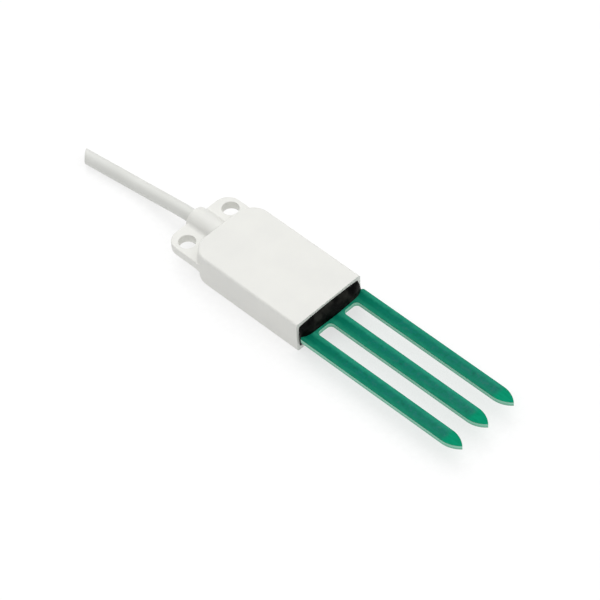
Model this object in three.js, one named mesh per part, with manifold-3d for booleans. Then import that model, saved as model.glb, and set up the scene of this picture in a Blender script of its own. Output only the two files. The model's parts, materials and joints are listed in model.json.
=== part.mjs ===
// Soil moisture sensor: a three-pronged circuit board potted into a one-piece
// plastic housing, with two screw ears and a round cable at the back.
// Millimetres, +Z up. +X runs along the board towards the prong tips, and the
// origin is under the middle of the object (without its cable), on the surface
// that the housing rests on.
import * as THREE from "three";
import { mergeVertices } from "three/addons/utils/BufferGeometryUtils.js";
import Module from "manifold-3d";

const wasm = await Module();
wasm.setup();

// ---- driving dimensions ----
const GAP = 0.3; // air left between neighbouring pieces
const REST_GAP = 0.1; // under a part that stands on the board

const MOUTH_X = -3.5; // open front end of the housing
const HOUSING_LENGTH = 44;
const HOUSING_WIDTH = 26.4;
const HOUSING_HEIGHT = 11.2;
const HOUSING_CORNER = 6.5; // plan radius of the two back corners
const HOUSING_EDGE = 0.8; // rounding of the long edges
const SIDE_WALL = 1;
const FLAT_WALL = 1.2; // top and bottom walls
const BACK_WALL = 2;

const FLANGE_THICKNESS = 3;
const FLANGE_REACH = 10.4; // behind the back wall
const FLANGE_CORNER = 4.7;
const EAR_HOLE_RADIUS = 2.65; // close clearance for an M5 screw
const EAR_HOLE_Y = 9;
const EAR_HOLE_FROM_WALL = 5;
const BOSS_RADIUS = 4.1;
const BOSS_REACH = 11; // behind the back wall

const BOARD_THICKNESS = 1.6;
const BOARD_WIDTH = 26.2; // outside the housing
const POTTED_WIDTH = 21.6; // inside the housing
const POTTED_LENGTH = 33;
const SHOULDER_X = MOUTH_X + 1; // where the board widens
const SHOULDER_CORNER = 0.8;
const SLOT_X = MOUTH_X + 3.15; // closed ends of the two slots
const TIP_X = MOUTH_X + 62;
const SLOT_CORNER = 1.4;
const POINT_LENGTH = 5.9; // of the pointed end of a prong
const OUTER_PRONG_WIDTH = 4.85;
const MIDDLE_PRONG_WIDTH = 5.1;

const RESIN_BULGE = 2.4; // how far the resin stands out of the mouth on the board
const RESIN_SPREAD = 12.4; // half width of the resin outside the mouth

const CABLE_RADIUS = 2.2;
const CABLE_BORE = 1.6;
const CORE_RADIUS = 0.5; // insulated conductor
const CORE_RING = 0.8; // distance of each core from the cable's axis
const CONDUCTOR_RADIUS = 0.25;

// ---- worked-out places ----
const MID_Z = HOUSING_HEIGHT / 2; // board, flange and cable lie on this plane
const BACK_X = MOUTH_X - HOUSING_LENGTH;
const BOARD_TOP = MID_Z + BOARD_THICKNESS / 2;
const BOARD_BOTTOM = MID_Z - BOARD_THICKNESS / 2;
const BOARD_REAR_X = MOUTH_X - POTTED_LENGTH;
const PAD_X = BOARD_REAR_X + 4; // solder joints of the three cores
const PAD_PITCH = 3.6;
const CAVITY_BACK_X = BACK_X + BACK_WALL;
const CAVITY_HALF_WIDTH = HOUSING_WIDTH / 2 - SIDE_WALL;

// The cable's centre line, from its inner end to its cut end, points set by
// hand: straight through the boss, then down onto the surface.
const CABLE_ROUTE = [
  [-41.5, 0, 5.6],
  [-46, 0, 5.6],
  [-52, 0, 5.6],
  [-58.5, 0, 5.6],
  [-61, 0, 5.53],
  [-64, -0.06, 5.29],
  [-67, -0.13, 4.93],
  [-70, -0.16, 4.47],
  [-73, -0.16, 3.97],
  [-76, -0.16, 3.46],
  [-79, -0.17, 3],
  [-82, -0.24, 2.61],
  [-85, -0.38, 2.35],
  [-88, -0.65, 2.25],
  [-91, -0.98, 2.25],
  [-94, -1.31, 2.25],
  [-97, -1.64, 2.25],
  [-100, -1.97, 2.25],
  [-103.4, -2.35, 2.25],
];

// ---- joining and cutting ----
function toSolid(geometry) {
  const plain = geometry.clone();
  plain.deleteAttribute("normal");
  plain.deleteAttribute("uv");
  const merged = mergeVertices(plain, 1e-5);
  return new wasm.Manifold(
    new wasm.Mesh({
      numProp: 3,
      vertProperties: new Float32Array(merged.attributes.position.array),
      triVerts: new Uint32Array(merged.index.array),
    }),
  );
}

function toGeometry(solid) {
  const mesh = solid.getMesh();
  const geometry = new THREE.BufferGeometry();
  geometry.setAttribute("position", new THREE.BufferAttribute(mesh.vertProperties, 3));
  geometry.setIndex(new THREE.BufferAttribute(mesh.triVerts, 1));
  geometry.computeVertexNormals();
  return geometry;
}

function join(geometries) {
  const solids = geometries.map(toSolid);
  return toGeometry(solids.reduce((all, next) => all.add(next)));
}

function cut(geometry, tools) {
  return toGeometry(tools.map(toSolid).reduce((left, tool) => left.subtract(tool), toSolid(geometry)));
}

function common(first, second) {
  return toGeometry(toSolid(first).intersect(toSolid(second)));
}

// ---- simple shapes ----
// A block between two opposite corners.
function block(low, high) {
  const size = high.map((value, axis) => value - low[axis]);
  const middle = high.map((value, axis) => (value + low[axis]) / 2);
  return new THREE.BoxGeometry(...size).translate(...middle);
}

// A plate of the given outline between two heights, its edges rounded by edge.
function plate(outline, lowZ, highZ, edge = 0) {
  const settings = { depth: highZ - lowZ - 2 * edge, curveSegments: 12, bevelEnabled: edge > 0 };
  if (edge > 0) {
    settings.bevelThickness = edge;
    settings.bevelSize = edge;
    settings.bevelOffset = -edge;
    settings.bevelSegments = 3;
  }
  return new THREE.ExtrudeGeometry(outline, settings).translate(0, 0, lowZ + edge);
}

// A plan outline from backX to frontX whose two back corners are rounded.
function roundBackedOutline(backX, frontX, halfWidth, radius) {
  const outline = new THREE.Shape();
  outline.moveTo(frontX, -halfWidth);
  outline.lineTo(frontX, halfWidth);
  outline.lineTo(backX + radius, halfWidth);
  outline.absarc(backX + radius, halfWidth - radius, radius, Math.PI / 2, Math.PI, false);
  outline.lineTo(backX, -halfWidth + radius);
  outline.absarc(backX + radius, -halfWidth + radius, radius, Math.PI, 1.5 * Math.PI, false);
  return outline;
}

function upright(radius, x, y, lowZ, highZ, sides = 32) {
  const pin = new THREE.CylinderGeometry(radius, radius, highZ - lowZ, sides);
  return pin.rotateX(Math.PI / 2).translate(x, y, (lowZ + highZ) / 2);
}

function alongX(radius, backX, frontX, sides = 32) {
  const rod = new THREE.CylinderGeometry(radius, radius, frontX - backX, sides);
  return rod.rotateZ(Math.PI / 2).translate((backX + frontX) / 2, 0, MID_Z);
}

function circle(radius) {
  const shape = new THREE.Shape();
  shape.absarc(0, 0, radius, 0, 2 * Math.PI, false);
  return shape;
}

// A tube of round section along a smooth curve through points.
function tube(points, radius, steps, sides, bore = 0) {
  const section = circle(radius);
  if (bore > 0) section.holes.push(circle(bore));
  const path = new THREE.CatmullRomCurve3(points.map((point) => new THREE.Vector3(...point)));
  return new THREE.ExtrudeGeometry(section, {
    steps,
    curveSegments: sides / 2,
    bevelEnabled: false,
    extrudePath: path,
  });
}

// ---- housing ----
function flange() {
  const outline = roundBackedOutline(
    BACK_X - FLANGE_REACH,
    BACK_X + HOUSING_CORNER,
    HOUSING_WIDTH / 2,
    FLANGE_CORNER,
  );
  const half = FLANGE_THICKNESS / 2;
  return plate(outline, MID_Z - half, MID_Z + half, 0.3);
}

function cableBoss() {
  const edge = 0.5;
  const inside = 1; // sunk into the back wall
  const length = BOSS_REACH + inside;
  const profile = [
    [0, 0],
    [BOSS_RADIUS - edge, 0],
    [BOSS_RADIUS - 0.3 * edge, 0.3 * edge],
    [BOSS_RADIUS, edge],
    [BOSS_RADIUS, length],
    [0, length],
  ];
  const points = profile.map(([radius, along]) => new THREE.Vector2(radius, along));
  const turned = new THREE.LatheGeometry(points, 40);
  return turned.rotateZ(-Math.PI / 2).translate(BACK_X - BOSS_REACH, 0, MID_Z);
}

function housingBox() {
  const past = 4; // made too long, then cut off flat at the mouth
  const outline = roundBackedOutline(BACK_X, MOUTH_X + past, HOUSING_WIDTH / 2, HOUSING_CORNER);
  const box = plate(outline, 0, HOUSING_HEIGHT, HOUSING_EDGE);
  const front = block(
    [MOUTH_X, -HOUSING_WIDTH, -1],
    [MOUTH_X + 2 * past, HOUSING_WIDTH, HOUSING_HEIGHT + 1],
  );
  return cut(box, [front]);
}

// The hollow that holds the board, shrunk by inset on every side.
function cavity(inset, frontX) {
  const outline = roundBackedOutline(
    CAVITY_BACK_X + inset,
    frontX,
    CAVITY_HALF_WIDTH - inset,
    HOUSING_CORNER - SIDE_WALL - inset,
  );
  return plate(outline, FLAT_WALL + inset, HOUSING_HEIGHT - FLAT_WALL - inset, 0.5);
}

function earHole(side) {
  const x = BACK_X - EAR_HOLE_FROM_WALL;
  return upright(EAR_HOLE_RADIUS, x, side * EAR_HOLE_Y, 0, HOUSING_HEIGHT);
}

function housing() {
  const body = join([housingBox(), flange(), cableBoss()]);
  const cableHole = alongX(CABLE_RADIUS + GAP, BACK_X - BOSS_REACH - 1, CAVITY_BACK_X + 2);
  return cut(body, [cavity(0, MOUTH_X + 8), cableHole, earHole(1), earHole(-1)]);
}

// ---- sensor board ----
// One prong's outline from its near corner, round its pointed end, and back.
function traceProng(outline, middleY, width) {
  const half = width / 2;
  const radius = (POINT_LENGTH ** 2 + half ** 2) / (2 * half);
  const lean = Math.asin((radius - half) / radius);
  const startX = TIP_X - POINT_LENGTH;
  outline.lineTo(startX, middleY - half);
  outline.absarc(startX, middleY - half + radius, radius, -Math.PI / 2, -lean, false);
  outline.absarc(startX, middleY + half - radius, radius, lean, Math.PI / 2, false);
}

// The closed end of a slot, from its low-Y corner to its high-Y corner.
function traceSlotEnd(outline, lowY, highY) {
  const x = SLOT_X + SLOT_CORNER;
  outline.lineTo(x, lowY);
  outline.absarc(x, lowY + SLOT_CORNER, SLOT_CORNER, -Math.PI / 2, -Math.PI, true);
  outline.absarc(x, highY - SLOT_CORNER, SLOT_CORNER, Math.PI, Math.PI / 2, true);
}

function boardOutline() {
  const edge = BOARD_WIDTH / 2;
  const outerY = edge - OUTER_PRONG_WIDTH / 2;
  const slotLow = MIDDLE_PRONG_WIDTH / 2;
  const slotHigh = edge - OUTER_PRONG_WIDTH;
  const cornerX = SHOULDER_X + SHOULDER_CORNER;
  const outline = new THREE.Shape();
  outline.moveTo(BOARD_REAR_X, -POTTED_WIDTH / 2);
  outline.lineTo(SHOULDER_X, -POTTED_WIDTH / 2);
  outline.lineTo(SHOULDER_X, -edge + SHOULDER_CORNER);
  outline.absarc(cornerX, -edge + SHOULDER_CORNER, SHOULDER_CORNER, Math.PI, 1.5 * Math.PI, false);
  traceProng(outline, -outerY, OUTER_PRONG_WIDTH);
  traceSlotEnd(outline, -slotHigh, -slotLow);
  traceProng(outline, 0, MIDDLE_PRONG_WIDTH);
  traceSlotEnd(outline, slotLow, slotHigh);
  traceProng(outline, outerY, OUTER_PRONG_WIDTH);
  outline.lineTo(cornerX, edge);
  outline.absarc(cornerX, edge - SHOULDER_CORNER, SHOULDER_CORNER, Math.PI / 2, Math.PI, false);
  outline.lineTo(SHOULDER_X, POTTED_WIDTH / 2);
  outline.lineTo(BOARD_REAR_X, POTTED_WIDTH / 2);
  return outline;
}

function sensorBoard() {
  return plate(boardOutline(), BOARD_BOTTOM, BOARD_TOP);
}

// ---- parts that stand on the board ----
// Each is described by its size and place; room() is the same space with GAP
// around it, for the resin.
const onBoard = [];

function stand(name, x, y, length, width, height, colour, make) {
  onBoard.push({ name, x, y, length, width, height, colour, make });
}

function standingBlock(part, grow, lowZ, highZ) {
  return block(
    [part.x - part.length / 2 - grow, part.y - part.width / 2 - grow, lowZ],
    [part.x + part.length / 2 + grow, part.y + part.width / 2 + grow, highZ],
  );
}

function room(part) {
  return standingBlock(part, GAP, MID_Z, BOARD_TOP + REST_GAP + part.height + GAP);
}

// A moulded package: the body, narrower than the leads' span, and the leads.
function leadedPackage(part, leadsPerSide, pitch, leadWidth) {
  const foot = BOARD_TOP + REST_GAP;
  const leadReach = 1;
  const body = block(
    [part.x - part.length / 2, part.y - part.width / 2 + leadReach, foot + 0.15],
    [part.x + part.length / 2, part.y + part.width / 2 - leadReach, foot + part.height],
  );
  const pieces = [body];
  for (const side of [-1, 1]) {
    for (let index = 0; index < leadsPerSide; index += 1) {
      const x = part.x + (index - (leadsPerSide - 1) / 2) * pitch;
      const outer = part.y + side * (part.width / 2);
      const knee = outer - side * 0.6;
      const root = knee - side * 0.8;
      pieces.push(
        block(
          [x - leadWidth / 2, Math.min(outer, knee), foot],
          [x + leadWidth / 2, Math.max(outer, knee), foot + 0.2],
        ),
        block(
          [x - leadWidth / 2, Math.min(knee, knee - side * 0.2), foot],
          [x + leadWidth / 2, Math.max(knee, knee - side * 0.2), foot + 0.8],
        ),
        block(
          [x - leadWidth / 2, Math.min(knee, root), foot + 0.6],
          [x + leadWidth / 2, Math.max(knee, root), foot + 0.8],
        ),
      );
    }
  }
  return join(pieces);
}

// A chip part: a ceramic body with a slightly larger metal cap at each end.
function chip(part) {
  const foot = BOARD_TOP + REST_GAP;
  const cap = part.length * 0.2;
  const inset = 0.05;
  const low = [part.x - part.length / 2, part.y - part.width / 2, foot];
  const high = [part.x + part.length / 2, part.y + part.width / 2, foot + part.height];
  return join([
    block([low[0] + cap / 2, low[1] + inset, low[2] + inset], [high[0] - cap / 2, high[1] - inset, high[2] - inset]),
    block(low, [low[0] + cap, high[1], high[2]]),
    block([high[0] - cap, low[1], low[2]], high),
  ]);
}

// A moulded block with a terminal folded up each end.
function endTerminalPart(part) {
  const foot = BOARD_TOP + REST_GAP;
  const body = block(
    [part.x - part.length / 2 + 0.2, part.y - part.width / 2, foot + 0.1],
    [part.x + part.length / 2 - 0.2, part.y + part.width / 2, foot + part.height],
  );
  const pieces = [body];
  for (const side of [-1, 1]) {
    const outer = part.x + side * (part.length / 2);
    const inner = outer - side * 1;
    pieces.push(
      block(
        [Math.min(outer, inner), part.y - part.width * 0.35, foot],
        [Math.max(outer, inner), part.y + part.width * 0.35, foot + part.height * 0.55],
      ),
    );
  }
  return join(pieces);
}

// A regulator in a flat package: a metal tab on one side, three leads on the other.
function regulator(part) {
  const foot = BOARD_TOP + REST_GAP;
  const low = part.y - part.width / 2;
  const high = part.y + part.width / 2;
  const pieces = [
    block(
      [part.x - part.length / 2, low + 0.9, foot + 0.05],
      [part.x + part.length / 2, high - 0.6, foot + part.height],
    ),
    block([part.x - part.length * 0.35, high - 1.2, foot], [part.x + part.length * 0.35, high, foot + 0.4]),
  ];
  for (const step of [-1, 0, 1]) {
    const x = part.x + step * 1.5;
    pieces.push(block([x - 0.22, low, foot], [x + 0.22, low + 1.4, foot + 0.4]));
  }
  return join(pieces);
}

// A metal-lidded ceramic package.
function oscillatorCan(part) {
  const foot = BOARD_TOP + REST_GAP;
  return join([
    standingBlock(part, 0, foot, foot + part.height * 0.7),
    standingBlock(part, -0.25, foot + part.height * 0.5, foot + part.height),
  ]);
}

const IC_BLACK = 0x1d1d20;
stand("microcontroller", MOUTH_X - 14, 4.2, 8.7, 6, 1.6, IC_BLACK, (part) => leadedPackage(part, 7, 1.27, 0.4));
stand("op_amp", MOUTH_X - 6.5, -4.4, 4.9, 6, 1.6, IC_BLACK, (part) => leadedPackage(part, 4, 1.27, 0.4));
stand("voltage_regulator", MOUTH_X - 24.3, -5.8, 4.5, 4.1, 1.5, IC_BLACK, regulator);
stand("crystal_oscillator", MOUTH_X - 14.5, -3.4, 5, 3.2, 1.2, 0xb9bbb6, oscillatorCan);
stand("protection_diode", MOUTH_X - 24.3, 7.6, 4.4, 2.6, 2, IC_BLACK, endTerminalPart);
stand("input_capacitor", MOUTH_X - 24.3, 3.6, 3.5, 2.8, 1.9, 0xc9992e, endTerminalPart);
stand("output_capacitor", MOUTH_X - 18.8, -7.4, 3.5, 2.8, 1.9, 0xc9992e, endTerminalPart);

const CERAMIC_TAN = 0x9c7b56;
const RESISTOR_BLACK = 0x232326;
const chipPlaces = [
  ["ceramic_capacitor", MOUTH_X - 7.2, 3.2, CERAMIC_TAN],
  ["ceramic_capacitor", MOUTH_X - 7.2, 6.2, CERAMIC_TAN],
  ["ceramic_capacitor", MOUTH_X - 14.5, -7.2, CERAMIC_TAN],
  ["ceramic_capacitor", MOUTH_X - 19, -3.4, CERAMIC_TAN],
  ["chip_resistor", MOUTH_X - 3.4, 4.6, RESISTOR_BLACK],
  ["chip_resistor", MOUTH_X - 3.4, 7.6, RESISTOR_BLACK],
  ["chip_resistor", MOUTH_X - 10.6, -7.2, RESISTOR_BLACK],
  ["chip_resistor", MOUTH_X - 10.6, -1.9, RESISTOR_BLACK],
  ["chip_resistor", MOUTH_X - 7.2, 9, RESISTOR_BLACK],
  ["chip_resistor", MOUTH_X - 20.4, 0.2, RESISTOR_BLACK],
];
const chipCount = {};
for (const [kind, x, y, colour] of chipPlaces) {
  chipCount[kind] = (chipCount[kind] ?? 0) + 1;
  const height = kind === "chip_resistor" ? 0.5 : 0.9;
  stand(`${kind}_${chipCount[kind]}`, x, y, 2, 1.25, height, colour, chip);
}

// ---- cable ----
const cores = [
  { name: "supply", angle: Math.PI / 2, padY: 0, colour: 0xb3261e },
  { name: "ground", angle: Math.PI / 2 + (2 * Math.PI) / 3, padY: -PAD_PITCH, colour: 0x1f1f22 },
  { name: "signal", angle: Math.PI / 2 - (2 * Math.PI) / 3, padY: PAD_PITCH, colour: 0xe9e7df },
];

// From the cut end, inside the cable, then fanning out over the board's rear end.
function coreRoute(core) {
  const y = CORE_RING * Math.cos(core.angle);
  const z = CORE_RING * Math.sin(core.angle);
  const insideCable = CABLE_ROUTE.map((point) => [point[0], point[1] + y, point[2] + z]);
  const overBoard = BOARD_TOP + CORE_RADIUS + GAP;
  const fan = [
    [CABLE_ROUTE[0][0] + 1.6, y + (core.padY - y) * 0.1, MID_Z + z * 0.9 + 0.15],
    [BOARD_REAR_X - 1, y + (core.padY - y) * 0.55, overBoard - 0.25],
    [BOARD_REAR_X + 0.9, core.padY, overBoard],
  ];
  return [...insideCable.reverse(), ...fan];
}

function core(wire) {
  return tube(coreRoute(wire), CORE_RADIUS, 48, 8);
}

// The channel that a core leaves in the resin, from the cable's end to its pad.
function coreRoom(wire) {
  return tube(coreRoute(wire).slice(-5), CORE_RADIUS + GAP, 5, 8);
}

const TIP_LENGTH = 1.6;

function conductorTip(wire) {
  const rod = new THREE.CylinderGeometry(CONDUCTOR_RADIUS, CONDUCTOR_RADIUS, TIP_LENGTH, 10);
  const x = BOARD_REAR_X + 1 + TIP_LENGTH / 2;
  return rod.rotateZ(Math.PI / 2).translate(x, wire.padY, BOARD_TOP + CORE_RADIUS + GAP);
}

// The channel over the board, wide enough for the conductor and the core's end.
function tipRoom(wire) {
  const half = CORE_RADIUS + GAP + 0.1;
  return block(
    [BOARD_REAR_X + 0.5, wire.padY - half, MID_Z],
    [PAD_X, wire.padY + half, BOARD_TOP + CORE_RADIUS + GAP + half],
  );
}

// A dome of solder on its pad, just past the end of the conductor.
const SOLDER_RADIUS = 1;
const SOLDER_HEIGHT = 1.25;

function solderJoint(wire) {
  const profile = [new THREE.Vector2(0, 0)];
  for (let step = 0; step < 6; step += 1) {
    const angle = (step / 6) * (Math.PI / 2);
    profile.push(new THREE.Vector2(SOLDER_RADIUS * Math.cos(angle), SOLDER_HEIGHT * Math.sin(angle)));
  }
  profile.push(new THREE.Vector2(0, SOLDER_HEIGHT));
  const dome = new THREE.LatheGeometry(profile, 16).rotateX(Math.PI / 2);
  return dome.translate(PAD_X, wire.padY, BOARD_TOP + REST_GAP);
}

function solderRoom(wire) {
  const top = BOARD_TOP + REST_GAP + SOLDER_HEIGHT + GAP;
  return upright(SOLDER_RADIUS + GAP, PAD_X, wire.padY, MID_Z, top, 16);
}

function cableJacket() {
  return tube(CABLE_ROUTE, CABLE_RADIUS, 30, 12, CABLE_BORE);
}

// A nylon tie pulled tight round the cable, behind which it can't slip out.
const TIE_X = CAVITY_BACK_X + 1.9;
const TIE_WIDTH = 2.4;
const TIE_RADIUS = CABLE_RADIUS + GAP + 0.8;

function cableTie(grow = 0) {
  const ring = alongX(TIE_RADIUS + grow, TIE_X - TIE_WIDTH / 2 - grow, TIE_X + TIE_WIDTH / 2 + grow, 24);
  const head = block(
    [TIE_X - TIE_WIDTH / 2 - 0.4 - grow, TIE_RADIUS - 0.6, MID_Z - 1.6 - grow],
    [TIE_X + TIE_WIDTH / 2 + 0.4 + grow, TIE_RADIUS + 2.6 + grow, MID_Z + 1.6 + grow],
  );
  const whole = join([ring, head]);
  if (grow > 0) return whole;
  return cut(whole, [alongX(CABLE_RADIUS + GAP, TIE_X - TIE_WIDTH, TIE_X + TIE_WIDTH, 24)]);
}

// ---- potting resin ----
// The part that stands out of the mouth: highest against the housing's upper
// and lower lips, furthest out at the board, with rounded ends in plan.
function resinBulge() {
  const within = GAP + 0.1; // just inside the resin that fills the cavity
  const half = HOUSING_HEIGHT / 2 - FLAT_WALL - within;
  const inner = CAVITY_HALF_WIDTH - within;
  const profile = new THREE.Shape();
  profile.moveTo(-1, -half);
  profile.lineTo(0.2, -half);
  profile.quadraticCurveTo(1.5, -half * 0.72, RESIN_BULGE, -BOARD_THICKNESS / 2);
  profile.lineTo(RESIN_BULGE, BOARD_THICKNESS / 2);
  profile.quadraticCurveTo(1.5, half * 0.72, 0.2, half);
  profile.lineTo(-1, half);
  const swept = new THREE.ExtrudeGeometry(profile, {
    depth: 2 * RESIN_SPREAD + 2,
    curveSegments: 8,
    bevelEnabled: false,
  });
  swept.rotateX(Math.PI / 2).translate(MOUTH_X, RESIN_SPREAD + 1, MID_Z);

  const cornerX = MOUTH_X + RESIN_BULGE;
  const plan = new THREE.Shape();
  plan.moveTo(MOUTH_X - 2, -inner);
  plan.lineTo(MOUTH_X + GAP, -inner);
  plan.lineTo(MOUTH_X + GAP, -RESIN_SPREAD);
  plan.quadraticCurveTo(cornerX, -RESIN_SPREAD, cornerX + 0.1, -RESIN_SPREAD + 3);
  plan.lineTo(cornerX + 0.1, RESIN_SPREAD - 3);
  plan.quadraticCurveTo(cornerX, RESIN_SPREAD, MOUTH_X + GAP, RESIN_SPREAD);
  plan.lineTo(MOUTH_X + GAP, inner);
  plan.lineTo(MOUTH_X - 2, inner);
  return common(swept, plate(plan, 0, HOUSING_HEIGHT));
}

// The room that the board takes in the resin, open towards the prongs.
function boardRoom() {
  const low = BOARD_BOTTOM - GAP;
  const high = BOARD_TOP + GAP;
  const half = POTTED_WIDTH / 2 + GAP;
  return join([
    block([BOARD_REAR_X - GAP, -half, low], [MOUTH_X + 5, half, high]),
    block([SHOULDER_X - GAP, -BOARD_WIDTH, low], [MOUTH_X + 5, BOARD_WIDTH, high]),
  ]);
}

function pottingResin() {
  const filling = join([cavity(GAP, MOUTH_X + 0.5), resinBulge()]);
  const cableEnd = alongX(CABLE_RADIUS + GAP, CAVITY_BACK_X - 1, CABLE_ROUTE[0][0] + GAP, 24);
  const wires = cores.flatMap((wire) => [coreRoom(wire), tipRoom(wire), solderRoom(wire)]);
  return cut(filling, [boardRoom(), cableEnd, cableTie(GAP), ...wires, ...onBoard.map(room)]);
}

// ---- assembly ----
const group = new THREE.Group();

function add(name, geometry, colour, roughness, metalness = 0) {
  const material = new THREE.MeshStandardMaterial({ color: colour, roughness, metalness });
  const mesh = new THREE.Mesh(geometry, material);
  mesh.name = name;
  group.add(mesh);
}

add("housing", housing(), 0xe9e9e4, 0.5);
add("potting_resin", pottingResin(), 0x141413, 0.3);
add("sensor_board", sensorBoard(), 0x0a7a5c, 0.35);
for (const part of onBoard) {
  add(part.name, part.make(part), part.colour, 0.5);
}
for (const wire of cores) {
  add(`${wire.name}_core`, core(wire), wire.colour, 0.45);
  add(`${wire.name}_conductor_tip`, conductorTip(wire), 0xb87333, 0.35, 1);
  add(`${wire.name}_solder_joint`, solderJoint(wire), 0xb8bcc0, 0.3, 1);
}
add("cable_jacket", cableJacket(), 0xcfcfca, 0.5);
add("cable_tie", cableTie(), 0xe8e6dd, 0.5);

export default group;
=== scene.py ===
"""Soil moisture sensor: detailed surfaces, materials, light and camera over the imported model."""
import json
import math

import bpy
from mathutils import Matrix, Quaternion, Vector


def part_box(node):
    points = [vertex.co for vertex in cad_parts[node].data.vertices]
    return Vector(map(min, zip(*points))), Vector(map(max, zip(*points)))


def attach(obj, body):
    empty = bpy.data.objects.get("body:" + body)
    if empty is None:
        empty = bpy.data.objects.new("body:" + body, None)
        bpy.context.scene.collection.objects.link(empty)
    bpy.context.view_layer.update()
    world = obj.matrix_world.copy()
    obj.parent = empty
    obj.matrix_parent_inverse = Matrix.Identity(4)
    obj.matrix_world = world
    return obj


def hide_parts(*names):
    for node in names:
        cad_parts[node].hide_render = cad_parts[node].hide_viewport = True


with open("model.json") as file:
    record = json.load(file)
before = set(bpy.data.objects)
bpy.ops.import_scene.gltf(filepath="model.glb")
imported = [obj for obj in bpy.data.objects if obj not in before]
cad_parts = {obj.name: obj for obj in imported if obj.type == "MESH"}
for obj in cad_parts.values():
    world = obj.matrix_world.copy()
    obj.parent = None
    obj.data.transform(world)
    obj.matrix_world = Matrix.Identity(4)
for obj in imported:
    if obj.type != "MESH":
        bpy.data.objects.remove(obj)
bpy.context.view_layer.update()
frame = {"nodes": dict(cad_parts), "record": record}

MM = 0.001


# ---- places, in millimetres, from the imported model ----
def node_box(name):
    low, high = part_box(name)
    return low / MM, high / MM


HOUSING_LOW, HOUSING_HIGH = node_box("housing")
BOARD_LOW, BOARD_HIGH = node_box("sensor_board")
MOUTH_X = HOUSING_HIGH.x
HALF_WIDTH = HOUSING_HIGH.y
HEIGHT = HOUSING_HIGH.z
MID_Z = (BOARD_LOW.z + BOARD_HIGH.z) / 2
HOUSING_LENGTH = 44
BACK_X = MOUTH_X - HOUSING_LENGTH  # the back wall; the flange and boss reach further

HOUSING_CORNER = 6.5
EDGE = 0.8
SIDE_WALL = 1.0
LIP = 0.9  # top and bottom walls at the middle of the mouth
LIP_CROWN = 0.5  # how much thicker they are towards the side walls
CAVITY_CORNER = 0.6
BACK_WALL = 2
CAVITY_BACK_X = BACK_X + BACK_WALL
CAVITY_HALF = HALF_WIDTH - SIDE_WALL
FLANGE_REACH = 10.4
FLANGE_BACK_X = BACK_X - FLANGE_REACH
FLANGE_CORNER = 4.7
FLANGE_HALF = 1.5  # half its thickness
FLANGE_SIDE = HALF_WIDTH - 0.02  # just inside the housing's side faces
EAR_HOLE_X = BACK_X - 5
EAR_HOLE_Y = 9.0  # on either side
EAR_HOLE_RADIUS = 2.65
BOSS_RADIUS = 4.1
BOSS_BACK_X = HOUSING_LOW.x

BOARD_HALF = 13.1  # half its width outside the housing
POTTED_HALF = 10.8  # half its width inside the housing
SHOULDER_X = MOUTH_X + 1
SHOULDER_CORNER = 0.8
SLOT_X = MOUTH_X + 3.15  # closed ends of the two slots
SLOT_CORNER = 1.4
POINT_LENGTH = 5.9  # of a prong's tip
PRONG_PITCH = 10.675
OUTER_PRONG_HALF = 2.425
MIDDLE_PRONG_HALF = 2.55

CABLE_RADIUS = 2.2
CABLE_BORE = 1.6
BORE_CLEARANCE = 0.03  # between the cable and the hole it leaves by
BORE_MOUTH = 0.2  # the same, where the hole opens
CORE_RADIUS = 0.5
CORE_RING = 0.8  # how far the cores lie from the cable's middle
COPPER_RADIUS = 0.3
CUT_SLANT = 0.62  # how far the cable's cut end leans, as a slope across the cable
SLANT_RINGS = 6  # of the cable's rings, which take up the lean

CABLE_ROUTE = [
    (-41.5, 0, 5.6),
    (-46, 0, 5.6),
    (-52, 0, 5.6),
    (-58.5, 0, 5.6),
    (-61, 0, 5.53),
    (-64, -0.06, 5.29),
    (-67, -0.13, 4.93),
    (-70, -0.16, 4.47),
    (-73, -0.16, 3.97),
    (-76, -0.16, 3.46),
    (-79, -0.17, 3.0),
    (-82, -0.24, 2.61),
    (-85, -0.38, 2.35),
    (-88, -0.65, 2.25),
    (-91, -0.98, 2.25),
    (-94, -1.31, 2.25),
    (-97, -1.64, 2.25),
    (-100, -1.97, 2.25),
    (-103.4, -2.35, 2.25),
]

ROUND_STEPS = 48  # round a full circle
CORNER_STEPS = 12  # round a plan corner
ROUTE_STEPS = 6  # between two points of a route


# ---- camera ----
CAMERA_ANGLES = (-43.23, 48.81, -3.31)  # azimuth, elevation and roll, in degrees
CAMERA_DISTANCE = 1.0413  # in metres
CAMERA_AIM = (-13.3, -1.9, 5.36)
LENS = 216
SENSOR_WIDTH = 36


def add_camera():
    azimuth, elevation, roll = (math.radians(a) for a in CAMERA_ANGLES)
    aim = Vector(CAMERA_AIM) * MM
    towards = Vector(
        (
            math.cos(elevation) * math.cos(azimuth),
            math.cos(elevation) * math.sin(azimuth),
            math.sin(elevation),
        )
    )
    data = bpy.data.cameras.new("camera")
    data.lens = LENS
    data.sensor_width = SENSOR_WIDTH
    data.clip_start = 0.01
    data.clip_end = 20
    camera = bpy.data.objects.new("camera", data)
    turn = towards.to_track_quat("Z", "Y") @ Quaternion((0, 0, 1), roll)
    camera.matrix_world = Matrix.LocRotScale(aim + CAMERA_DISTANCE * towards, turn, None)
    bpy.context.scene.collection.objects.link(camera)
    bpy.context.scene.camera = camera


# ---- mesh helpers ----
def mesh_object(name, points, faces, materials=()):
    """A piece from points in millimetres; every face starts in the first material."""
    mesh = bpy.data.meshes.new(name)
    mesh.from_pydata([Vector(p) * MM for p in points], [], faces)
    mesh.validate()
    obj = bpy.data.objects.new(name, mesh)
    for material in materials:
        mesh.materials.append(material)
    bpy.context.scene.collection.objects.link(obj)
    return obj


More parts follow.
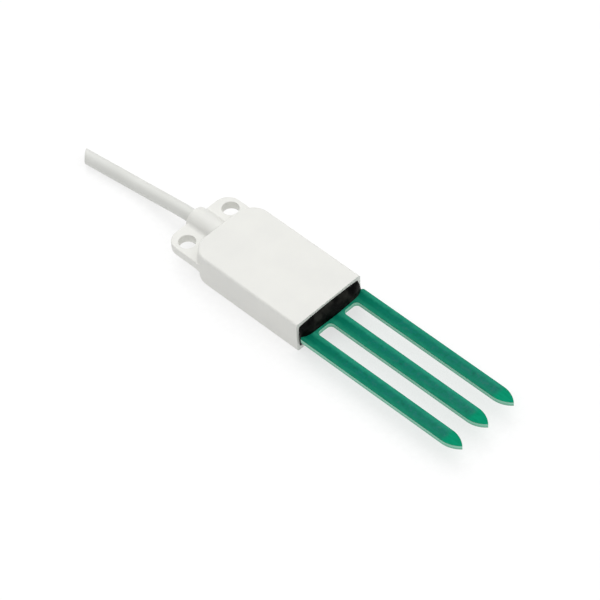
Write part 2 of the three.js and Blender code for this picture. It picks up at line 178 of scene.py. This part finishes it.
def loft(name, rings, materials=()):
    """Joins rings of equal length in turn. Rings run anticlockwise seen from the last one."""
    count = len(rings[0])
    points = [p for ring in rings for p in ring]
    faces = []
    for r in range(len(rings) - 1):
        for i in range(count):
            j = (i + 1) % count
            faces.append(
                (r * count + i, r * count + j, (r + 1) * count + j, (r + 1) * count + i)
            )
    faces.append(tuple(range(count))[::-1])
    faces.append(tuple((len(rings) - 1) * count + i for i in range(count)))
    return mesh_object(name, points, faces, materials)


def smooth(obj, angle=32, weighted=True):
    obj.data.shade_smooth()
    obj.data.set_sharp_from_angle(angle=math.radians(angle))
    if weighted:
        normals = obj.modifiers.new("flat_faces_stay_flat", "WEIGHTED_NORMAL")
        normals.keep_sharp = True


def apply_modifiers(obj):
    depsgraph = bpy.context.evaluated_depsgraph_get()
    mesh = bpy.data.meshes.new_from_object(obj.evaluated_get(depsgraph))
    old = obj.data
    obj.modifiers.clear()
    obj.data = mesh
    bpy.data.meshes.remove(old)


def combine(base, others, operation):
    for other in others:
        step = base.modifiers.new(operation, "BOOLEAN")
        step.operation = operation
        step.solver = "EXACT"
        step.object = other
    apply_modifiers(base)
    for other in others:
        mesh = other.data
        bpy.data.objects.remove(other)
        bpy.data.meshes.remove(mesh)


# ---- outlines ----
def arc(cx, cy, radius, start, end, steps):
    """Points on an arc, angles in degrees, both ends included."""
    angles = [math.radians(start + (end - start) * i / steps) for i in range(steps + 1)]
    return [(cx + radius * math.cos(a), cy + radius * math.sin(a)) for a in angles]


def back_rounded(back, front, half, radius):
    return (
        [(front, -half), (front, half)]
        + arc(back + radius, half - radius, radius, 90, 180, CORNER_STEPS)
        + arc(back + radius, -half + radius, radius, 180, 270, CORNER_STEPS)
    )


def lifted(outline, z):
    return [(x, y, z) for x, y in outline]


def mouth_half_height(across):
    """Half the opening's height at a place across it, from -1 to 1."""
    from_side = CAVITY_HALF * (1 - abs(across))
    half = HEIGHT / 2 - LIP - LIP_CROWN * across**2
    if from_side < CAVITY_CORNER:
        rise = math.sqrt(CAVITY_CORNER**2 - (CAVITY_CORNER - from_side) ** 2)
        half -= CAVITY_CORNER - rise
    return half


def mouth_section(x):
    """The cavity's section: flat sides, gently crowned top and bottom."""
    columns = 48
    places = [math.sin(math.pi / 2 * (2 * c / columns - 1)) for c in range(columns + 1)]
    below = [(x, a * CAVITY_HALF, MID_Z - mouth_half_height(a)) for a in places]
    above = [(x, a * CAVITY_HALF, MID_Z + mouth_half_height(a)) for a in places[::-1]]
    return below + above


def circle_x(x, radius):
    """A ring round the cable's axis, for a loft towards +X."""
    ring = arc(0, MID_Z, radius, 0, 360, ROUND_STEPS)[:-1]
    return [(x, y, z) for y, z in ring]


def rounded_prism(name, outline_at, low, high, edge, steps=6):
    """A plate whose two rims are rounded; outline_at(inset) gives its outline."""
    turns = [math.radians(90 * i / steps) for i in range(steps + 1)]
    rings = [
        lifted(outline_at(edge * (1 - math.sin(a))), low + edge * (1 - math.cos(a)))
        for a in turns
    ]
    rings += [
        lifted(outline_at(edge * (1 - math.cos(a))), high - edge * (1 - math.sin(a)))
        for a in turns
    ]
    return loft(name, rings)


# ---- procedural materials ----
def new_material(name):
    material = bpy.data.materials.new(name)
    material.use_nodes = True
    nodes = material.node_tree.nodes
    return material, nodes, material.node_tree.links, nodes["Principled BSDF"]


def position(nodes):
    return nodes.new("ShaderNodeTexCoord").outputs["Object"]


def noise(nodes, links, where, per_metre, detail=3.0, roughness=0.5, stretch=None):
    texture = nodes.new("ShaderNodeTexNoise")
    texture.inputs["Scale"].default_value = per_metre
    texture.inputs["Detail"].default_value = detail
    texture.inputs["Roughness"].default_value = roughness
    if stretch is not None:
        mapping = nodes.new("ShaderNodeMapping")
        mapping.inputs["Scale"].default_value = stretch
        links.new(where, mapping.inputs["Vector"])
        where = mapping.outputs["Vector"]
    links.new(where, texture.inputs["Vector"])
    return texture.outputs["Fac"]


def ramp(nodes, links, value, stops):
    """stops: (place, linear colour) pairs."""
    node = nodes.new("ShaderNodeValToRGB")
    elements = node.color_ramp.elements
    while len(elements) < len(stops):
        elements.new(0.5)
    for element, (place, colour) in zip(elements, stops):
        element.position = place
        element.color = (*colour, 1)
    links.new(value, node.inputs["Fac"])
    return node.outputs["Color"]


def span(nodes, links, value, low, high, out_low, out_high):
    """value between low and high, carried to the range out_low to out_high."""
    node = nodes.new("ShaderNodeMapRange")
    for name, number in (
        ("From Min", low),
        ("From Max", high),
        ("To Min", out_low),
        ("To Max", out_high),
    ):
        node.inputs[name].default_value = number
    links.new(value, node.inputs["Value"])
    return node.outputs["Result"]


def bump(nodes, links, shader, height, depth_mm):
    node = nodes.new("ShaderNodeBump")
    node.inputs["Strength"].default_value = 1
    node.inputs["Distance"].default_value = depth_mm * MM
    links.new(height, node.inputs["Height"])
    links.new(node.outputs["Normal"], shader.inputs["Normal"])


def mix(nodes, links, factor, first, second):
    node = nodes.new("ShaderNodeMix")
    node.data_type = "RGBA"
    links.new(factor, node.inputs["Factor"])
    links.new(first, node.inputs[6])
    links.new(second, node.inputs[7])
    return node.outputs[2]


def moulded_plastic(name, colour, shade, roughness, grain_mm=0.012):
    """Plastic with cloudy colour, a fine moulded grain and uneven gloss."""
    material, nodes, links, shader = new_material(name)
    where = position(nodes)
    cloud = noise(nodes, links, where, 90, 4)
    links.new(
        ramp(nodes, links, cloud, [(0.35, shade), (0.65, colour)]),
        shader.inputs["Base Color"],
    )
    grain = noise(nodes, links, where, 2600, 2)
    links.new(
        span(nodes, links, grain, 0.3, 0.7, roughness - 0.05, roughness + 0.06),
        shader.inputs["Roughness"],
    )
    bump(nodes, links, shader, grain, grain_mm)
    shader.inputs["Specular IOR Level"].default_value = 0.4
    return material


def resin_material():
    material, nodes, links, shader = new_material("cast_resin")
    where = position(nodes)
    # Here the noise places patches of painted sheen: the lightest ramp stop lifts the black resin
    # to soft grey as a painted highlight.
    cloud = noise(nodes, links, where, 210, 3)
    links.new(
        ramp(
            nodes,
            links,
            cloud,
            [
                (0.42, (0.0007, 0.001, 0.0008)),
                (0.52, (0.0022, 0.0024, 0.0019)),
                (0.66, (0.017, 0.0175, 0.0145)),
            ],
        ),
        shader.inputs["Base Color"],
    )
    ripple = noise(nodes, links, where, 170, 2)
    links.new(
        span(nodes, links, cloud, 0.3, 0.7, 0.2, 0.38), shader.inputs["Roughness"]
    )
    bump(nodes, links, shader, ripple, 0.9)
    shader.inputs["Specular IOR Level"].default_value = 0.085
    return material


def mask_material():
    """Green solder mask. Each prong has a mottled strip along its middle, over the sensing copper,
    between clear green margins, the +Y margin painted lighter than the -Y one as painted light;
    the tips, past the copper, are palest."""
    material, nodes, links, shader = new_material("solder_mask")
    where = position(nodes)
    split = nodes.new("ShaderNodeSeparateXYZ")
    links.new(where, split.inputs["Vector"])
    mottle = noise(nodes, links, where, 620, 5, 0.7)
    ragged = noise(nodes, links, where, 900, 3, 0.7, (0.7, 1, 1))
    weave = noise(nodes, links, where, 1500, 2, 0.5, (0.25, 1, 1))

    def along(start, end, low, high):
        return span(nodes, links, split.outputs["X"], start * MM, end * MM, low, high)

    # Painted light: each prong's margin on the +Y side is painted lighter (lit) and the one on the
    # -Y side darker (shaded).
    shaded_side_margin = ramp(
        nodes,
        links,
        weave,
        [(0.35, (0.006, 0.178, 0.104)), (0.65, (0.011, 0.21, 0.126))],
    )
    lit_side_margin = ramp(
        nodes,
        links,
        weave,
        [(0.35, (0.0135, 0.226, 0.14)), (0.65, (0.0195, 0.262, 0.166))],
    )
    plain = ramp(
        nodes,
        links,
        weave,
        [(0.35, (0.0004, 0.129, 0.077)), (0.65, (0.0006, 0.146, 0.089))],
    )
    mottled = ramp(
        nodes,
        links,
        mottle,
        [
            (0.34, (0.0055, 0.118, 0.088)),
            (0.45, (0.003, 0.162, 0.095)),
            (0.55, (0.006, 0.152, 0.118)),
            (0.68, (0.021, 0.16, 0.1)),
        ],
    )
    worn = ramp(
        nodes,
        links,
        mottle,
        [
            (0.34, (0.01, 0.132, 0.095)),
            (0.45, (0.008, 0.175, 0.106)),
            (0.55, (0.014, 0.166, 0.13)),
            (0.68, (0.03, 0.175, 0.112)),
        ],
    )
    tip = ramp(
        nodes,
        links,
        weave,
        [(0.35, (0.001, 0.23, 0.12)), (0.65, (0.0016, 0.265, 0.14))],
    )
    across = nodes.new("ShaderNodeMath")
    across.operation = "WRAP"
    across.inputs[1].default_value = PRONG_PITCH / 2 * MM
    across.inputs[2].default_value = -PRONG_PITCH / 2 * MM
    links.new(split.outputs["Y"], across.inputs[0])
    from_middle = nodes.new("ShaderNodeMath")
    from_middle.operation = "ABSOLUTE"
    links.new(across.outputs[0], from_middle.inputs[0])
    side = span(nodes, links, across.outputs[0], -0.5 * MM, 0.5 * MM, 0, 1)
    # margin: painted light, lighter on each prong's +Y side and darker on its -Y side.
    margin = mix(nodes, links, side, shaded_side_margin, lit_side_margin)
    shifted = nodes.new("ShaderNodeMath")
    shifted.operation = "MULTIPLY_ADD"
    shifted.inputs[1].default_value = 1.6 * MM
    links.new(ragged, shifted.inputs[0])
    links.new(from_middle.outputs[0], shifted.inputs[2])
    outside = span(nodes, links, shifted.outputs[0], 1.5 * MM, 2.6 * MM, 0, 1)
    strip = mix(nodes, links, along(MOUTH_X + 6, MOUTH_X + 20, 0, 1), plain, mottled)
    strip = mix(nodes, links, along(MOUTH_X + 26, MOUTH_X + 50, 0, 1), strip, worn)
    prong = mix(nodes, links, outside, strip, margin)
    tip_start = BOARD_HIGH.x - POINT_LENGTH
    finish = mix(nodes, links, along(tip_start - 0.6, tip_start + 0.9, 0, 1), prong, tip)
    links.new(finish, shader.inputs["Base Color"])
    links.new(
        span(nodes, links, mottle, 0.3, 0.7, 0.3, 0.42), shader.inputs["Roughness"]
    )
    bump(nodes, links, shader, weave, 0.006)
    shader.inputs["Specular IOR Level"].default_value = 0.01
    return material


def board_edge_material():
    """Routed glass-epoxy edge: pale fibres, lighter in the upper half and darker towards the
    bottom.
    """
    material, nodes, links, shader = new_material("routed_edge")
    where = position(nodes)
    split = nodes.new("ShaderNodeSeparateXYZ")
    links.new(where, split.inputs["Vector"])
    fibre = noise(nodes, links, where, 900, 3, 0.6, (0.3, 0.3, 6))
    level = span(
        nodes, links, split.outputs["Z"], BOARD_LOW.z * MM, BOARD_HIGH.z * MM, 0, 1
    )
    # Colour by height up the edge: lighter in the upper half, darker towards the bottom.
    height_tint = ramp(
        nodes,
        links,
        level,
        [
            (0.0, (0.26, 0.5, 0.38)),
            (0.25, (0.18, 0.47, 0.35)),
            (0.45, (0.21, 0.57, 0.43)),
            (0.65, (0.3, 0.7, 0.54)),
            (0.95, (0.28, 0.58, 0.44)),
        ],
    )
    streaks = ramp(
        nodes, links, fibre, [(0.3, (0.72, 0.72, 0.66)), (0.7, (1.0, 1.0, 1.0))]
    )
    multiply = nodes.new("ShaderNodeMix")
    multiply.data_type = "RGBA"
    multiply.blend_type = "MULTIPLY"
    multiply.inputs["Factor"].default_value = 1
    links.new(height_tint, multiply.inputs[6])
    links.new(streaks, multiply.inputs[7])
    links.new(multiply.outputs[2], shader.inputs["Base Color"])
    links.new(
        span(nodes, links, fibre, 0.3, 0.7, 0.5, 0.7), shader.inputs["Roughness"]
    )
    bump(nodes, links, shader, fibre, 0.03)
    return material


def metal_material(name, colour, roughness, per_metre=1800):
    material, nodes, links, shader = new_material(name)
    where = position(nodes)
    grain = noise(nodes, links, where, per_metre, 3)
    links.new(
        ramp(
            nodes,
            links,
            grain,
            [(0.3, tuple(c * 0.8 for c in colour)), (0.7, colour)],
        ),
        shader.inputs["Base Color"],
    )
    links.new(
        span(nodes, links, grain, 0.3, 0.7, roughness - 0.08, roughness + 0.1),
        shader.inputs["Roughness"],
    )
    shader.inputs["Metallic"].default_value = 1
    bump(nodes, links, shader, grain, 0.01)
    return material


MATERIALS = {
    "housing_white": moulded_plastic(
        "abs_white", (0.735, 0.735, 0.7), (0.71, 0.71, 0.68), 0.42
    ),
    "resin_black": resin_material(),
    "board_green": mask_material(),
    "package_black": moulded_plastic(
        "package_black", (0.016, 0.016, 0.018), (0.011, 0.011, 0.012), 0.5
    ),
    "lid_metal": metal_material("plated_lid", (0.62, 0.61, 0.57), 0.3),
    "tantalum_yellow": moulded_plastic(
        "tantalum_yellow", (0.58, 0.33, 0.035), (0.5, 0.27, 0.03), 0.45
    ),
    "ceramic_tan": moulded_plastic(
        "ceramic_tan", (0.34, 0.2, 0.1), (0.28, 0.16, 0.08), 0.4
    ),
    "resistor_black": moulded_plastic(
        "resistor_glaze", (0.02, 0.02, 0.022), (0.014, 0.014, 0.016), 0.28
    ),
    "copper": metal_material("bare_copper", (0.72, 0.33, 0.17), 0.28, 5000),
    "solder": metal_material("solder", (0.6, 0.62, 0.63), 0.26),
    "core_red": moulded_plastic("pvc_red", (0.42, 0.02, 0.015), (0.36, 0.016, 0.012), 0.4),
    "core_black": moulded_plastic(
        "pvc_black", (0.014, 0.014, 0.015), (0.01, 0.01, 0.011), 0.4
    ),
    "core_white": moulded_plastic("pvc_white", (0.76, 0.75, 0.7), (0.72, 0.71, 0.66), 0.4),
    "jacket_grey": moulded_plastic(
        "pvc_jacket", (0.67, 0.675, 0.645), (0.64, 0.645, 0.615), 0.45, 0.02
    ),
    "tie_nylon": moulded_plastic("nylon", (0.72, 0.7, 0.62), (0.67, 0.65, 0.57), 0.4),
}
ROUTED_EDGE = board_edge_material()


def place(obj, slot, *nodes):
    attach(obj, "root")
    if nodes:
        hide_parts(*nodes)


# ---- cable ----
def smooth_route(points):
    """The route through the listed points, evenly refined."""
    points = [Vector(p) for p in points]
    padded = [2 * points[0] - points[1], *points, 2 * points[-1] - points[-2]]
    line = []
    for i in range(1, len(padded) - 2):
        p0, p1, p2, p3 = padded[i - 1 : i + 3]
        for k in range(ROUTE_STEPS):
            t = k / ROUTE_STEPS
            line.append(
                0.5
                * (
                    2 * p1
                    + (p2 - p0) * t
                    + (2 * p0 - 5 * p1 + 4 * p2 - p3) * t**2
                    + (3 * p1 - p0 - 3 * p2 + p3) * t**3
                )
            )
    line.append(points[-1])
    return line


def tube_rings(line, radius, sides):
    """Rings round a line that runs towards -X. The last few lean into the slanted cut."""
    cut_centre = Vector(CABLE_ROUTE[-1])
    rings = []
    for i, point in enumerate(line):
        before, after = line[max(i - 1, 0)], line[min(i + 1, len(line) - 1)]
        ahead = (after - before).normalized()
        side = ahead.cross(Vector((0, 0, 1))).normalized()
        up = side.cross(ahead)
        slant = CUT_SLANT * max(0, 1 - (len(line) - 1 - i) / SLANT_RINGS)
        ring = []
        for k in range(sides):
            angle = 2 * math.pi * k / sides
            spot = point + radius * (side * math.cos(angle) + up * math.sin(angle))
            ring.append(spot + ahead * slant * (spot - cut_centre).dot(side))
        rings.append(ring[::-1])
    return rings


def moved(ring, line, distance):
    """A ring shifted along the line's last stretch, outwards where distance is positive."""
    ahead = (line[-1] - line[-2]).normalized()
    return [p + ahead * distance for p in ring]


def hollow_tube(name, line, radius, bore, sides, material):
    """A tube with a bore, its cut rim slightly rounded."""
    edge = 0.08
    outer = tube_rings(line, radius, sides)
    rim = tube_rings(line, radius - edge, sides)[-1]
    rings = outer[:-1] + [moved(outer[-1], line, -edge), rim]
    rings += tube_rings(line, bore, sides)[::-1]
    count = len(rings[0])
    points = [p for ring in rings for p in ring]
    faces = []
    for r in range(len(rings)):
        s = (r + 1) % len(rings)
        for i in range(count):
            j = (i + 1) % count
            faces.append((r * count + i, r * count + j, s * count + j, s * count + i))
    return mesh_object(name, points, faces, [material])


def add_wire(name, angle, slot):
    """One insulated core, from its solder pad to the cable's cut end, where its
    copper shows."""
    y = CORE_RING * math.cos(math.radians(angle))
    z = CORE_RING * math.sin(math.radians(angle))
    tip_low, tip_high = node_box(f"{name}_conductor_tip")
    pad = (tip_low + tip_high) / 2
    fan = [
        (BOARD_LOW.x + 0.9, pad.y, pad.z),
        (BOARD_LOW.x - 1, y + (pad.y - y) * 0.55, pad.z - 0.25),
        (CABLE_ROUTE[0][0] + 1.6, y + (pad.y - y) * 0.1, MID_Z + z * 0.9 + 0.15),
    ]
    line = smooth_route(fan + [(p[0], p[1] + y, p[2] + z) for p in CABLE_ROUTE])
    sides = 16
    rings = tube_rings(line, CORE_RADIUS, sides)
    copper = tube_rings(line, COPPER_RADIUS, sides)[-1]
    rings += [copper, moved(copper, line, 0.12)]
    wire = loft(f"{name}_wire", rings, [MATERIALS[slot], MATERIALS["copper"]])
    copper_faces = list(wire.data.polygons)[-sides - 2 :]
    for face in copper_faces[:sides] + copper_faces[-1:]:
        face.material_index = 1
    smooth(wire, 40, weighted=False)
    place(wire, slot, f"{name}_core")
    return wire


def add_cable():
    line = smooth_route(CABLE_ROUTE)
    jacket = hollow_tube(
        "cable_sheath", line, CABLE_RADIUS, CABLE_BORE, 32, MATERIALS["jacket_grey"]
    )
    smooth(jacket, 50, weighted=False)
    place(jacket, "jacket_grey", "cable_jacket")
    add_wire("supply", 90, "core_red")
    add_wire("ground", 210, "core_black")
    add_wire("signal", -30, "core_white")


# ---- housing ----
def wall_fillet(side):
    """The concave fillet between the back wall and the flange, on one broad face."""
    radius = 0.9
    base = MID_Z + side * FLANGE_HALF
    rings = [
        lifted(
            back_rounded(
                BACK_X - radius, BACK_X + 9, HALF_WIDTH + radius, HOUSING_CORNER + radius
            ),
            base - side * 0.5,
        )
    ]
    for i in range(9):
        turn = math.radians(90 * i / 8)
        out = radius * (1 - math.sin(turn))
        rings.append(
            lifted(
                back_rounded(
                    BACK_X - out, BACK_X + 9, HALF_WIDTH + out, HOUSING_CORNER + out
                ),
                base + side * radius * (1 - math.cos(turn)),
            )
        )
    if side < 0:
        rings.reverse()
    fillet = loft("wall_fillet", rings)
    limit = loft(
        "limit",
        [
            lifted(back_rounded(FLANGE_BACK_X, BACK_X + 8, FLANGE_SIDE, FLANGE_CORNER), z)
            for z in (0.5, HEIGHT - 0.5)
        ],
    )
    combine(fillet, [limit], "INTERSECT")
    return fillet


def boss_saddle():
    """The boss's section with concave fillets onto both faces of the flange."""
    radius = 1.4
    reach = math.sqrt((BOSS_RADIUS + radius) ** 2 - (FLANGE_HALF + radius) ** 2)
    top = FLANGE_HALF + radius
    lean = math.degrees(math.atan2(top, reach))
    right = [(reach, FLANGE_HALF - 0.4)]
    right += arc(reach, top, radius, 270, 180 + lean, 8)
    crown = arc(0, 0, BOSS_RADIUS, lean, 180 - lean, 24)[1:-1]
    upper = right + crown + [(-y, z) for y, z in right[::-1]]
    section = upper + [(-y, -z) for y, z in upper]
    rings = []
    for x in (FLANGE_BACK_X + 0.35, BACK_X + 1.5):
        rings.append([(x, y, MID_Z + z) for y, z in section])
    return loft("boss_saddle", rings)


def boss_barrel():
    edge = 0.5
    flare = 0.6
    rings = []
    for i in range(5):
        turn = math.radians(90 * i / 4)
        rings.append(
            circle_x(
                BOSS_BACK_X + edge * (1 - math.sin(turn)),
                BOSS_RADIUS - edge * (1 - math.cos(turn)),
            )
        )
    rings.reverse()
    for i in range(7):
        turn = math.radians(90 * i / 6)
        rings.append(
            circle_x(
                BACK_X - flare * (1 - math.sin(turn)),
                BOSS_RADIUS + flare * (1 - math.cos(turn)),
            )
        )
    rings.append(circle_x(BACK_X + 1.4, BOSS_RADIUS + flare))
    return loft("boss_barrel", rings)


def ear_hole(side):
    flare = 0.12
    low, high = MID_Z - FLANGE_HALF, MID_Z + FLANGE_HALF
    profile = [(low - 1, EAR_HOLE_RADIUS + flare)]
    for i in range(5):
        turn = math.radians(90 * i / 4)
        radius = EAR_HOLE_RADIUS + flare * (1 - math.sin(turn))
        profile.append((low + flare * (1 - math.cos(turn)), radius))
    profile += [(low + high - z, r) for z, r in profile[::-1]]
    y = side * EAR_HOLE_Y
    rings = [lifted(arc(EAR_HOLE_X, y, r, 0, 360, ROUND_STEPS)[:-1], z) for z, r in profile]
    return loft("ear_hole", rings)


def add_housing():
    shell = rounded_prism(
        "housing_shell",
        lambda inset: back_rounded(
            BACK_X + inset, MOUTH_X, HALF_WIDTH - inset, HOUSING_CORNER - inset
        ),
        0,
        HEIGHT,
        EDGE,
    )
    flange = rounded_prism(
        "flange",
        lambda inset: back_rounded(
            FLANGE_BACK_X + inset, BACK_X + 8, FLANGE_SIDE - inset, FLANGE_CORNER - inset
        ),
        MID_Z - FLANGE_HALF,
        MID_Z + FLANGE_HALF,
        0.4,
        4,
    )
    combine(
        shell,
        [flange, wall_fillet(1), wall_fillet(-1), boss_saddle(), boss_barrel()],
        "UNION",
    )
    hollow = rounded_prism(
        "hollow",
        lambda inset: back_rounded(
            CAVITY_BACK_X + inset,
            MOUTH_X + 2,
            CAVITY_HALF + 1 - inset,
            HOUSING_CORNER - SIDE_WALL - inset,
        ),
        LIP / 2,
        HEIGHT - LIP / 2,
        0.4,
        4,
    )
    section = loft("section", [mouth_section(x) for x in (CAVITY_BACK_X - 1, MOUTH_X + 3)])
    combine(hollow, [section], "INTERSECT")
    bore = loft(
        "bore",
        [
            circle_x(BOSS_BACK_X - 1, CABLE_RADIUS + BORE_MOUTH),
            circle_x(BOSS_BACK_X, CABLE_RADIUS + BORE_MOUTH),
            circle_x(BOSS_BACK_X + 0.3, CABLE_RADIUS + BORE_CLEARANCE),
            circle_x(CAVITY_BACK_X + 1, CABLE_RADIUS + BORE_CLEARANCE),
        ],
    )
    combine(shell, [hollow, bore, ear_hole(1), ear_hole(-1)], "DIFFERENCE")
    shell.data.materials.clear()
    shell.data.materials.append(MATERIALS["housing_white"])
    smooth(shell)
    apply_modifiers(shell)
    place(shell, "housing_white", "housing")


# ---- resin ----
def resin_reach(across):
    """How far the resin stands out of the mouth at the board's level."""
    y = across * CAVITY_HALF
    from_shoulder = max(0.0, (abs(across) - 0.55) / 0.45)
    return 1.1 + 1.45 * (1 - from_shoulder**4) + 0.12 * math.cos(0.33 * (y - 1))


def add_resin():
    """Fills the housing; its front stands out of the mouth and climbs the board."""
    columns, rows = 84, 36
    across_count = columns + 1
    places = [math.sin(math.pi / 2 * (2 * c / columns - 1)) for c in range(across_count)]
    points, faces = [], []
    for r in range(rows + 1):
        level = math.sin(math.pi / 2 * (2 * r / rows - 1))
        slope = (1 - abs(level) ** 1.6) ** 0.8
        for across in places:
            spill = 0.3 * slope * max(0.0, abs(across) - 0.9) / 0.1
            points.append(
                (
                    MOUTH_X + resin_reach(across) * slope,
                    across * CAVITY_HALF + math.copysign(spill, across),
                    MID_Z + level * mouth_half_height(across),
                )
            )
    for r in range(rows):
        for c in range(columns):
            a = r * across_count + c
            faces.append((a, a + 1, a + across_count + 1, a + across_count))
    rim = (
        [(0, c) for c in range(across_count)]
        + [(r, columns) for r in range(1, rows + 1)]
        + [(rows, c) for c in range(columns - 1, -1, -1)]
        + [(r, 0) for r in range(rows - 1, 0, -1)]
    )
    ring = [r * across_count + c for r, c in rim]
    for back_x, narrow in (
        (MOUTH_X - 0.4, 1),
        (CAVITY_BACK_X + HOUSING_CORNER, 1),
        (CAVITY_BACK_X + 0.1, 1 - HOUSING_CORNER / CAVITY_HALF),
    ):
        behind = []
        for r, c in rim:
            y = places[c] * CAVITY_HALF * narrow
            behind.append(len(points))
            points.append((back_x, y, points[r * across_count + c][2]))
        count = len(ring)
        for i in range(count):
            j = (i + 1) % count
            faces.append((ring[j], ring[i], behind[i], behind[j]))
        ring = behind
    faces.append(tuple(ring[::-1]))
    resin = mesh_object("resin_fill", points, faces, [MATERIALS["resin_black"]])
    smooth(resin, 60, weighted=False)
    place(resin, "resin_black", "potting_resin")


# ---- board ----
def board_outline(inset):
    """The board's outline, moved inwards by inset."""
    edge = BOARD_HALF - inset
    potted = POTTED_HALF - inset
    rear = BOARD_LOW.x + inset
    shoulder = SHOULDER_X + inset
    shoulder_corner = SHOULDER_CORNER - inset
    slot_end = SLOT_X - inset
    corner = SLOT_CORNER + inset
    prongs = [
        (-PRONG_PITCH, OUTER_PRONG_HALF),
        (0, MIDDLE_PRONG_HALF),
        (PRONG_PITCH, OUTER_PRONG_HALF),
    ]
    turn_x = shoulder + shoulder_corner
    turn_y = edge - shoulder_corner
    outline = [(rear, -potted), (shoulder, -potted)]
    outline += arc(turn_x, -turn_y, shoulder_corner, 180, 270, 8)
    for number, (middle, half) in enumerate(prongs):
        radius = (POINT_LENGTH**2 + half**2) / (2 * half)
        start = BOARD_HIGH.x - POINT_LENGTH
        inner = radius - inset
        turned = math.degrees(math.acos(min(1.0, (radius - half) / inner)))
        outline += arc(start, middle - half + radius, inner, -90, turned - 90, 16)
        outline += arc(start, middle + half - radius, inner, 90 - turned, 90, 16)[1:]
        if number < 2:
            low = middle + half - inset
            high = prongs[number + 1][0] - prongs[number + 1][1] + inset
            outline += arc(slot_end + corner, low + corner, corner, 270, 180, 8)
            outline += arc(slot_end + corner, high - corner, corner, 180, 90, 8)
    outline += arc(turn_x, turn_y, shoulder_corner, 90, 180, 8)
    outline += [(shoulder, potted), (rear, potted)]
    return outline


def add_board():
    """Laminate with solder mask on both faces and their chamfers, and bare routed edges."""
    chamfer = 0.07
    rings = [
        lifted(board_outline(chamfer), BOARD_LOW.z),
        lifted(board_outline(0), BOARD_LOW.z + chamfer),
        lifted(board_outline(0), BOARD_HIGH.z - chamfer),
        lifted(board_outline(chamfer), BOARD_HIGH.z),
    ]
    board = loft("circuit_board", rings, [MATERIALS["board_green"], ROUTED_EDGE])
    for face in board.data.polygons:
        face.material_index = 0 if abs(face.normal.z) > 0.5 else 1
    smooth(board, 40, weighted=False)
    place(board, "board_green", "sensor_board")


# ---- buried pieces keep their solids and get real finishes ----
def paint_inner_nodes():
    slots = {s["node"]: s["material_slot"] for s in frame["record"]["subparts"]}
    for name, obj in frame["nodes"].items():
        obj.data.materials.clear()
        obj.data.materials.append(MATERIALS[slots[name]])
        obj.data.shade_smooth()
        obj.data.set_sharp_from_angle(angle=math.radians(35))


# ---- studio ----
def add_floor():
    material, nodes, links, shader = new_material("paper")
    grain = noise(nodes, links, position(nodes), 500, 2)
    links.new(
        ramp(nodes, links, grain, [(0.3, (0.33, 0.33, 0.33)), (0.7, (0.35, 0.35, 0.35))]),
        shader.inputs["Base Color"],
    )
    shader.inputs["Emission Color"].default_value = (1, 1, 1, 1)
    shader.inputs["Emission Strength"].default_value = 0.645
    shader.inputs["Roughness"].default_value = 0.9
    shader.inputs["Specular IOR Level"].default_value = 0
    half = 4000  # far past the view
    floor = mesh_object(
        "floor",
        [(-half, -half, 0), (half, -half, 0), (half, half, 0), (-half, half, 0)],
        [(0, 1, 2, 3)],
        [material],
    )


def add_soft_light(name, towards, width, strength):
    """A large even light far away, seen in the direction towards, width degrees wide."""
    data = bpy.data.lights.new(name, "SUN")
    data.angle = math.radians(width)
    data.energy = strength
    light = bpy.data.objects.new(name, data)
    light.rotation_euler = Vector(towards).to_track_quat("Z", "Y").to_euler()
    bpy.context.scene.collection.objects.link(light)


def add_light():
    """A wide overhead light, a narrower key from behind the cable, a faint fill at the
    mouth, and a dim world with a white band at the horizon."""
    world = bpy.data.worlds.new("studio")
    world.use_nodes = True
    nodes, links = world.node_tree.nodes, world.node_tree.links
    facing = nodes.new("ShaderNodeVectorMath")
    facing.operation = "DOT_PRODUCT"
    facing.inputs[1].default_value = Vector((0.1, 0.06, 0.2)).normalized()
    direction = nodes.new("ShaderNodeTexCoord").outputs["Generated"]
    links.new(direction, facing.inputs[0])
    glow = span(nodes, links, facing.outputs["Value"], -1, 1, 0.22, 0.3)
    split = nodes.new("ShaderNodeSeparateXYZ")
    links.new(direction, split.inputs["Vector"])
    horizon = span(nodes, links, split.outputs["Z"], 0.05, 0.09, 0.8, 0)
    total = nodes.new("ShaderNodeMath")
    total.operation = "ADD"
    links.new(glow, total.inputs[0])
    links.new(horizon, total.inputs[1])
    links.new(total.outputs[0], nodes["Background"].inputs["Strength"])
    nodes["Background"].inputs["Color"].default_value = (1, 1, 1, 1)
    bpy.context.scene.world = world
    bpy.context.scene.view_settings.view_transform = "Standard"
    add_soft_light("overhead", (0.05, 0, 1), 115, 1.97)
    add_soft_light("key", (-1.1, 0.65, 1), 50, 0.95)
    add_soft_light("mouth_fill", (0.96, 0.05, 0.26), 40, 0.15)


add_camera()
paint_inner_nodes()
add_cable()
add_housing()
add_resin()
add_board()
add_floor()
add_light()
